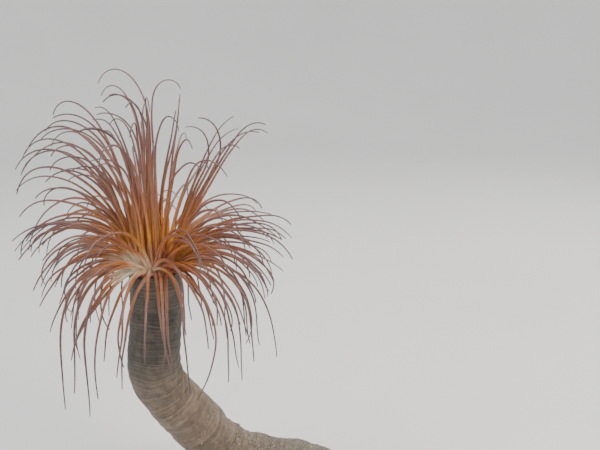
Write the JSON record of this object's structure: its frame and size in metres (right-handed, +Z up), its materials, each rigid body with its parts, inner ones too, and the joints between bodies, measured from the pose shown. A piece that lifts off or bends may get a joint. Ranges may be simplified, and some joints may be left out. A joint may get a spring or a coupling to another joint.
{
  "type": "tube anemone model",
  "caption": "Life-size still model of a tube-dwelling anemone: a felted upright tube that bends to lie on the floor, with a crown of long orange-brown tentacles.",
  "frame": {"origin": "point on the floor under the middle of the tube, where its bend has come level", "axes": "+Z up, +X to the viewer's right in the picture, +Y away from the viewer"},
  "size_m": [0.3015, 0.228, 0.3634],
  "materials": {
    "tube_felt": "matt felted mucus, grey-olive with fine transverse growth rings",
    "tube_sandy": "matt felt with embedded sand and shell grit",
    "column_skin": "smooth moist skin",
    "disc_skin": "smooth moist skin, red-brown",
    "labial_skin": "soft satin, golden amber",
    "tentacle_skin": "soft satin, pale root, amber, then brown and dark purple-brown at the thin tip"
  },
  "bodies": {
    "root": {"tube_upper": "tube_felt", "tube_middle": "tube_felt", "tube_bend": "tube_felt", "tube_lying_near": "tube_sandy", "tube_lying_far": "tube_sandy", "tube_end": "tube_sandy", "column": "column_skin", "oral_disc": "disc_skin", "labial_tentacles": "labial_skin", "marginal_tentacles_right": "tentacle_skin", "marginal_tentacles_back_right": "tentacle_skin", "marginal_tentacles_back": "tentacle_skin", "marginal_tentacles_back_left": "tentacle_skin", "marginal_tentacles_left": "tentacle_skin", "marginal_tentacles_front_left": "tentacle_skin", "marginal_tentacles_front": "tentacle_skin", "marginal_tentacles_front_right": "tentacle_skin"}
  },
  "joints": []
}
